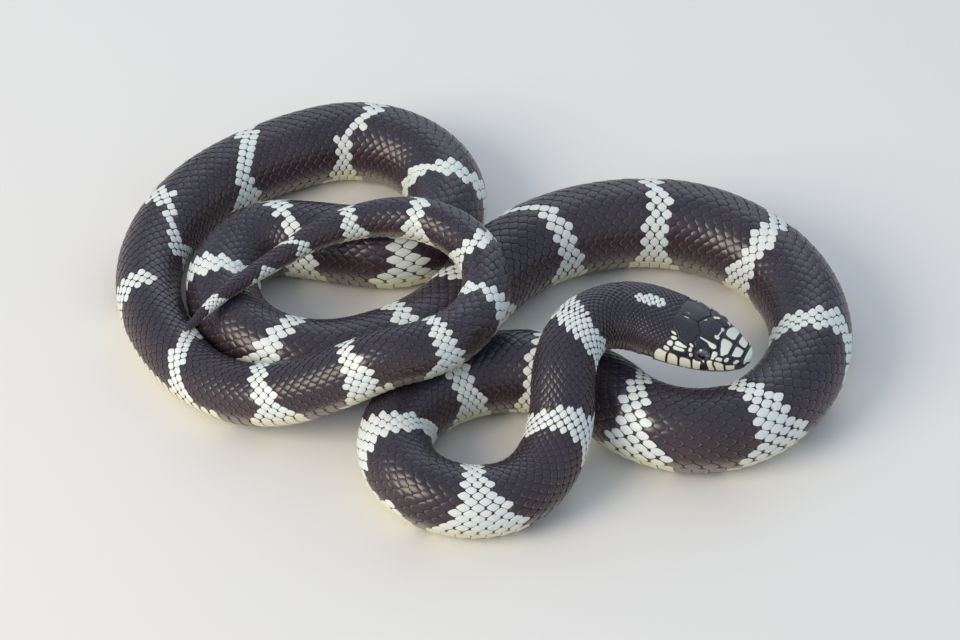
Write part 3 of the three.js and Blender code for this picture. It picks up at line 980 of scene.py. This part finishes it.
# Pale spots of the right side (-1), of the left side (1) or of the crown's middle (0) alone.
SIDE_SPOTS = {
    ("supraocular", -1): (
        (8.75, 39, 0.66, 9.4, 36.5, 0.60), (9.4, 36, 0.5, 10.6, 30.5, 0.24),
        (10.5, 31, 0.26, 12.6, 27, 0.17),
    ),
    ("supraocular", 1): ((12.0, 17.5, 0.26, 11.0, 24.5, 0.34), (8.3, 36.5, 0.42, 7.9, 33.5, 0.36)),
    ("parietal", -1): ((18.85, 1.6, 0.09, 17.7, 1.4, 0.17),),
    ("parietal", 1): (
        (18.6, 2.6, 0.05, 17.9, 3.0, 0.06), (17.6, 42.5, 0.26, 18.0, 40, 0.22),
        (16.6, 50.5, 0.26, 15.2, 46, 0.22), (15.2, 46, 0.22, 14.1, 41, 0.14),
    ),
    ("frontal", 0): (
        (8.95, -9.5, 0.66, 9.1, -8.5, 0.62), (8.5, 5.6, 0.50, 8.75, 6.5, 0.46),
        (8.7, 4, 0.13, 8.95, -7, 0.15), (13.8, 3.4, 0.09, 13.4, 5.6, 0.13),
    ),
}
NOSTRIL = {"at": 3.52, "around": 80.7, "long": 0.62, "wide": 8.0, "deep": 0.36}
# Corners of the frontal plate in the crown's middle, of the rostral plate at the snout's tip,
# whose foot lies under it, and of the mental plate at the chin's tip.
FRONTAL_LEFT = "brow_front frontal_corner frontal_side frontal_rear frontal_slope frontal_tip"
FRONTAL_RIGHT = "frontal_slope frontal_rear frontal_side frontal_corner"
ROSTRAL = "rostral_top rostral_high rostral_side rostral_low rostral_lip rostral_corner"
ROSTRAL_FOOT = ((1.6, 121), (0.2, 128), (-0.12, 140), (-0.2, 180))
MENTAL = ((0.3, 143), (0.1, 180), (0.3, 217), (2.6, 208), (4.3, 184), (4.3, 176), (2.6, 152))
CHIN_SHIELDS = ((4.6, 9.8, 156), (10.1, 14.8, 161))   # from, to, degrees of the outer edge
LOWER_SEAMS = (2.2, 4.4, 6.6, 9.0, 11.6, 14.8, 18.6, 23.4)   # between the lower lip's plates
MARK_REACH = 1.2             # millimetres over which a plate's pale value rises from 0 to 1
LEAN = 2.0                   # degrees by which the crown's midline lies to the right
PLATE_SEAM = 0.085           # half the gap between two plates
OUTLINE_STEP = 0.14          # from point to point of a plate's outline
RING_STEP = 0.18             # from ring to ring inside it


def rounded_loop(corners, divide=3):
    """A closed outline through corners, with evenly spread points; rounder if divided less."""
    points = np.array(corners, float)
    fine = []
    for corner, after in zip(points, np.roll(points, -1, axis=0)):
        fine.extend(corner + (after - corner) * k / divide for k in range(divide))
    points = np.array(fine)
    for _ in range(3 if divide == 1 else 2):
        after = np.roll(points, -1, axis=0)
        points = np.stack([0.75 * points + 0.25 * after, 0.25 * points + 0.75 * after], axis=1)
        points = points.reshape(-1, 2)
    closed = np.concatenate([points, points[:1]])
    run = run_along(closed)
    where = np.linspace(0, run[-1], max(20, int(run[-1] / OUTLINE_STEP)), endpoint=False)
    return read_line(where, run, closed)


def inside_depth(points, loop):
    """Distance of points inside a closed loop, negative outside."""
    start, end = loop, np.roll(loop, -1, axis=0)
    edge = end - start
    offset = points[:, None, :] - start[None]
    share = np.clip((offset * edge).sum(-1) / (edge * edge).sum(-1), 0, 1)
    distance = np.linalg.norm(offset - share[..., None] * edge, axis=-1).min(axis=1)
    crosses = (start[:, 1] > points[:, None, 1]) != (end[:, 1] > points[:, None, 1])
    rise = np.where(edge[:, 1] == 0, 1e-9, edge[:, 1])
    left = points[:, None, 0] < start[:, 0] + offset[..., 1] * edge[:, 0] / rise
    return np.where((crosses & left).sum(axis=1) % 2 == 1, distance, -distance)


class PlateMesh:
    """Collects plates into one mesh."""

    def __init__(self):
        self.points, self.faces, self.uv = [], [], []
        self.values = {"mark": [], "tone": [], "edge": [], "belly": []}
        self.total = 0

    def add(self, rings, lifts, mark, edge, belly, tone, pole):
        """A closed plate from rings of plan points, outermost first, and a middle point."""
        count = len(rings[0])
        plan_all = np.concatenate([*rings, [pole]])
        lift_all = np.concatenate([np.full(count, lift) for lift in lifts] + [[lifts[-1]]])
        self.points.append(on_body(plan_all[:, 0], plan_all[:, 1], lift_all))
        self.faces += dome(self.total, len(rings), count)
        self.total += len(plan_all)
        self.uv.append(unwrap(plan_all[:, 0], plan_all[:, 1], *plan_all[-1]))
        for key, data in (("mark", mark), ("edge", edge), ("belly", belly), ("tone", tone)):
            self.values[key].append(np.broadcast_to(data, len(plan_all)))

    def piece(self, name, material):
        values = {key: np.concatenate(data) for key, data in self.values.items()}
        points, uv = np.concatenate(self.points), np.concatenate(self.uv)
        piece = new_mesh(name, points, self.faces, uv, values, material)
        turn_outwards()
        return piece


class Ruler:
    """Turns degrees round one section into millimetres over its surface, and back."""

    def __init__(self, at):
        self.degrees = np.linspace(-225, 225, 901)
        rim = on_section(np.full(901, at), self.degrees)
        self.run = run_along(rim)
        self.run -= np.interp(0.0, self.degrees, self.run)

    def flatten(self, plan):
        plan = np.asarray(plan, float)
        return np.stack([plan[:, 0], np.interp(plan[:, 1], self.degrees, self.run)], axis=1)

    def wrap(self, flat):
        return np.stack([flat[:, 0], np.interp(flat[:, 1], self.run, self.degrees)], axis=1)


def lay_plate(target, corners, rim, pale_from, spots, tone, belly=0.0, lip_side=0, thick=0.0):
    """One head plate from corners in (distance, degrees), signed by side."""
    corners = np.array(corners, float)
    centre = corners.mean(axis=0)
    ruler = Ruler(max(centre[0], 0.5))
    flat_corners = ruler.flatten(corners)
    loop = rounded_loop(flat_corners)
    tangent = np.roll(loop, -1, axis=0) - np.roll(loop, 1, axis=0)
    normal = unit(np.stack([-tangent[:, 1], tangent[:, 0]], axis=1))
    if inside_depth(loop[:1] + normal[:1] * 0.02, loop)[0] < 0:
        normal = -normal
    outline = loop + normal * PLATE_SEAM
    middle = outline.mean(axis=0)
    reach = np.linalg.norm(outline - middle, axis=1).max()
    steps = max(6, int(reach / RING_STEP))
    # Rings from the foot over the rounded edge to the slightly raised middle.
    inner = np.linspace(1 - 0.4 / reach, 0, steps, endpoint=False)
    shares = np.concatenate([[1.0, 1.0, 1 - 0.07 / reach, 1 - 0.2 / reach], inner])
    lifts = np.concatenate([[-0.5, -0.16, -0.06, 0.0], np.linspace(0.03, 0.05, steps)])
    lifts[1:] += thick
    rings = [(middle + (outline - middle) * share) for share in shares]
    flat = np.concatenate([*rings, [middle]])
    depth = np.full(len(flat), -1.0)
    if rim is not None:
        border = rounded_loop(flat_corners, divide=1)
        # The pale middle of an upper lip plate runs on over the lip's rim.
        if lip_side:
            edge_of_lip = ruler.flatten([(centre[0], lip(float(centre[0]))[1] - 9)])[0, 1]
            border[border[:, 1] * lip_side > edge_of_lip, 1] += lip_side * 1.2
        depth = inside_depth(flat, border) - rim
        if pale_from:
            depth = np.minimum(depth, flat[:, 0] - pale_from)
    for spot in spots:
        depth = np.maximum(depth, streak_depth(flat, spot, ruler))
    mark = np.clip(0.5 + depth / MARK_REACH, 0, 1)
    edge = np.repeat([1, 1, 0.8, 0.4] + [0.0] * steps, len(outline))
    plan = [ruler.wrap(ring) for ring in rings]
    pole = ruler.wrap(middle[None])[0]
    target.add(plan, lifts, mark, np.append(edge, 0.0), belly, tone, pole)


def streak_depth(flat, spot, ruler):
    """Distance of flattened points inside a tapered streak, negative outside."""
    ends = ruler.flatten([spot[0:2], spot[3:5]])
    run = ends[1] - ends[0]
    share = np.clip(((flat - ends[0]) @ run) / max(run @ run, 1e-9), 0, 1)
    radius = spot[2] + (spot[5] - spot[2]) * share
    return radius - np.linalg.norm(flat - ends[0] - share[:, None] * run, axis=1)


def crown_lean(around):
    return around - LEAN * max(0.0, math.cos(math.radians(around)))


def corner_places(keys, side):
    """Places of shared corners on one side of the head."""
    return [(CORNERS[key][0], crown_lean(side * CORNERS[key][1])) for key in keys.split()]


def leant(spots, side):
    """Pale spots on one side of the head, leant with the crown."""
    return [
        (at, crown_lean(side * around), wide, end, crown_lean(side * end_around), end_wide)
        for at, around, wide, end, end_around, end_wide in spots
    ]


class KINGSNAKE_OT_head_plates(bpy.types.Operator):
    """Lays the plates of crown, cheeks and lips, with their pale middles"""

    bl_idname = "kingsnake.head_plates"
    bl_label = "Head plates"

    def execute(self, context):
        rng = np.random.default_rng(11)
        material = plate_material()
        crown, jaw = PlateMesh(), PlateMesh()
        for side in (-1, 1):
            for name, corners in PLATES.items():
                spots = leant(SPOTS.get(name, ()) + SIDE_SPOTS.get((name, side), ()), side)
                on_lip = side if name.startswith("upper_lip") else 0
                lay_plate(
                    crown, corner_places(corners, side), RIMS.get(name), PALE_FROM.get(name, 0),
                    spots, rng.random(), belly=0.55 if on_lip else 0.0, lip_side=on_lip,
                    thick=0.12 if name == "supraocular" else 0.0,
                )
        frontal = corner_places(FRONTAL_LEFT, 1) + corner_places(FRONTAL_RIGHT, -1)
        lay_plate(crown, frontal, None, 0, leant(SIDE_SPOTS["frontal", 0], 1), 0.5)
        self.lay_nostril(crown, -1)
        self.lay_nostril(crown, 1)
        self.lay_rostral(crown)
        self.lay_jaw(jaw, rng)
        crown.piece("head_plates", material)
        jaw.piece("jaw_plates", material)
        return {"FINISHED"}

    def lay_nostril(self, target, side):
        """The dark floor of a nostril, under the gap that the nasal plates leave."""
        turns = np.radians(np.arange(0, 360, 30))
        at = NOSTRIL["at"] + NOSTRIL["long"] * np.cos(turns)
        around = side * (NOSTRIL["around"] + NOSTRIL["wide"] * np.sin(turns))
        lay_plate(target, np.stack([at, around], axis=1), None, 0, (), 0.0, thick=-NOSTRIL["deep"])

    def lay_rostral(self, target):
        """The plate that wraps the tip of the snout, laid round its pole."""
        count, inner = 120, 14
        around = np.linspace(-180, 180, count, endpoint=False)
        posts = [CORNERS[key] for key in ROSTRAL.split()] + list(ROSTRAL_FOOT)
        post_at, post_around = np.array(posts).T
        edge_at = np.interp(np.abs(around), post_around, post_at) - 0.1
        shares = np.concatenate([[1.0, 1.0, 0.97], np.linspace(0.9, 0.04, inner)])
        lifts = np.concatenate([[-0.5, -0.16, -0.04], np.zeros(inner)])
        lean = np.array([crown_lean(a) for a in around])
        rings = [np.stack([share * (edge_at + SNOUT_CAP) - SNOUT_CAP, lean], axis=1) for share in shares]
        pole = (0.002 - SNOUT_CAP, 0.0)
        flat = np.concatenate([*rings, [pole]])
        fullness = np.sqrt(np.clip(1 - (np.minimum(flat[:, 0], 0) / SNOUT_CAP) ** 2, 0, 1))
        height = np.cos(np.radians(flat[:, 1])) * fullness
        pale = np.minimum(0.66 - flat[:, 0], (height + 0.3) * 2.5)
        mark = np.clip(0.5 + pale / MARK_REACH, 0, 1)
        edge = np.concatenate([np.repeat([1, 1, 0.6], count), np.zeros(inner * count + 1)])
        target.add(rings, lifts, mark, edge, 0.3, 0.4, pole)

    def lay_jaw(self, target, rng):
        """Lower lips, the plate of the chin's tip and the chin shields."""
        for side in (-1, 1):
            for front, rear in zip(LOWER_SEAMS, LOWER_SEAMS[1:]):
                corners = [lip(at, -0.14) for at in np.linspace(front, rear, 4)]
                low_front, low_rear = (min(lip(at, -0.14)[1] + 24 + at * 0.1, 162) for at in (front, rear))
                corners += [(rear + 0.5, low_rear), (front + 0.5, low_front)]
                corners = [(at, side * around) for at, around in corners]
                lay_plate(target, corners, 0.28, 0, (), rng.random(), belly=1.0)
            for front, rear, low in CHIN_SHIELDS:
                corners = [
                    (front, 179.2), (rear, 179.2), (rear + 0.6, low + 6), (rear - 1, low),
                    (front + 0.8, low + 1),
                ]
                corners = [(at, side * around) for at, around in corners]
                lay_plate(target, corners, 0.3, 0, (), rng.random(), belly=1.0)
        lay_plate(target, MENTAL, 0.3, 0, (), 0.5, belly=1.0)


# ------------------------------------------------------------------ eyes

class KINGSNAKE_OT_eyes(bpy.types.Operator):
    """Sets a glossy eye with pupil and iris in each side of the head"""

    bl_idname = "kingsnake.eyes"
    bl_label = "Eyes"

    def execute(self, context):
        material = eye_material()
        place, along, up, side = (v[0] for v in station(np.array([EYE["at"]])))
        for sideways, name in ((-1, "right"), (1, "left")):
            bpy.ops.object.select_all(action="DESELECT")
            bpy.ops.mesh.primitive_uv_sphere_add(segments=48, ring_count=32, radius=1.0)
            eye = context.object
            eye.name = f"eyeball_{name}"
            unit_points = np.array([v.co[:] for v in eye.data.vertices])
            outward = side * sideways
            middle = place + outward * EYE["out"] + up * EYE["up"]
            points = (
                middle + np.outer(unit_points[:, 0] * EYE["along"], along)
                + np.outer(unit_points[:, 2] * EYE["across"], outward)
                + np.outer(unit_points[:, 1] * EYE["high"], up)
            )
            eye.data.vertices.foreach_set("co", (points * MM).ravel())
            ring = np.hypot(unit_points[:, 0], unit_points[:, 1])
            ring = np.where(unit_points[:, 2] < 0, 1.0, ring)
            eye.data.attributes.new("ring", "FLOAT", "POINT").data.foreach_set("value", ring)
            turn_outwards()
            bpy.ops.object.shade_smooth()
            eye.data.materials.append(material)
            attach(eye, ROOT)
            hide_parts(f"eye_{name}")
        return {"FINISHED"}


# ------------------------------------------------------------------ stage

class KINGSNAKE_OT_stage(bpy.types.Operator):
    """Sets the pale floor, the soft lamps and the camera"""

    bl_idname = "kingsnake.stage"
    bl_label = "Stage"

    def execute(self, context):
        scene = context.scene
        sizes, colours = scene.kingsnake_sizes, scene.kingsnake_colours
        bpy.ops.object.select_all(action="DESELECT")
        bpy.ops.mesh.primitive_plane_add(size=6.0, location=(0, 0, 0))
        floor = context.object
        floor.name = "studio_floor"
        nodes = Nodes("studio_floor")
        haze = nodes.noise(3.0, 2.0)
        pale = nodes.mix(haze, rgba(colours.floor), rgba([v * 0.985 for v in colours.floor]))
        floor.data.materials.append(nodes.surface(base_color=pale, roughness=0.9))

        world = bpy.data.worlds.new("studio_air")
        scene.world = world
        world.use_nodes = True
        background = world.node_tree.nodes["Background"]
        background.inputs["Color"].default_value = (0.76, 0.86, 1.0, 1.0)
        background.inputs["Strength"].default_value = 0.70

        lamps = (
            ("lamp_key", (-0.95, -0.6, 0.72), 0.8, 13.5, (1.0, 0.86, 0.68)),
            ("lamp_back", (0.3, 1.2, 0.9), 1.2, 3.0, (0.9, 0.95, 1.0)),
        )
        for name, where, size, power, tint in lamps:
            bpy.ops.object.light_add(type="AREA", location=where)
            lamp = context.object
            lamp.name = name
            lamp.data.shape = "DISK"
            lamp.data.size = size
            lamp.data.energy = power
            lamp.data.color = tint
            aim(lamp, (0, 0, 0.01))

        target = np.array([-0.0003, 0.00675, 0.0])
        tilt = sizes.camera_elevation
        back = np.array([0.0, -math.cos(tilt), math.sin(tilt)]) * sizes.camera_distance
        bpy.ops.object.camera_add(location=(target + back).tolist(), rotation=(math.pi / 2 - tilt, 0, 0))
        camera = context.object
        camera.name = "view_camera"
        camera.data.sensor_width = 36
        camera.data.lens = sizes.lens / MM
        camera.data.clip_start = 0.01
        scene.camera = camera
        scene.view_settings.view_transform = "Standard"
        return {"FINISHED"}


def aim(thing, at):
    offset = np.array(at) - np.array(thing.location)
    flat = math.hypot(offset[0], offset[1])
    thing.rotation_euler = (math.atan2(flat, -offset[2]), 0, math.atan2(-offset[0], offset[1]))


# ------------------------------------------------------------------ panel and registration

OPERATORS = (
    KINGSNAKE_OT_skin,
    KINGSNAKE_OT_back_scales,
    KINGSNAKE_OT_belly_scutes,
    KINGSNAKE_OT_head_plates,
    KINGSNAKE_OT_eyes,
    KINGSNAKE_OT_stage,
)


class KINGSNAKE_PT_panel(bpy.types.Panel):
    """Lists the pieces of the snake"""

    bl_label = "Kingsnake"
    bl_idname = "KINGSNAKE_PT_panel"
    bl_space_type = "VIEW_3D"
    bl_region_type = "UI"
    bl_category = "Kingsnake"

    def draw(self, context):
        layout = self.layout
        for operator in OPERATORS:
            layout.operator(operator.bl_idname)
        for group in (context.scene.kingsnake_sizes, context.scene.kingsnake_colours):
            for key in group.__annotations__:
                layout.prop(group, key)


CLASSES = (KingsnakeSizes, KingsnakeColours, *OPERATORS, KINGSNAKE_PT_panel)


def register():
    for cls in CLASSES:
        bpy.utils.register_class(cls)
    bpy.types.Scene.kingsnake_sizes = PointerProperty(type=KingsnakeSizes)
    bpy.types.Scene.kingsnake_colours = PointerProperty(type=KingsnakeColours)


def unregister():
    del bpy.types.Scene.kingsnake_colours
    del bpy.types.Scene.kingsnake_sizes
    for cls in reversed(CLASSES):
        bpy.utils.unregister_class(cls)


def main():
    register()
    bpy.ops.kingsnake.skin()
    bpy.ops.kingsnake.back_scales()
    bpy.ops.kingsnake.belly_scutes()
    bpy.ops.kingsnake.head_plates()
    bpy.ops.kingsnake.eyes()
    bpy.ops.kingsnake.stage()


if __name__ == "__main__":
    main()
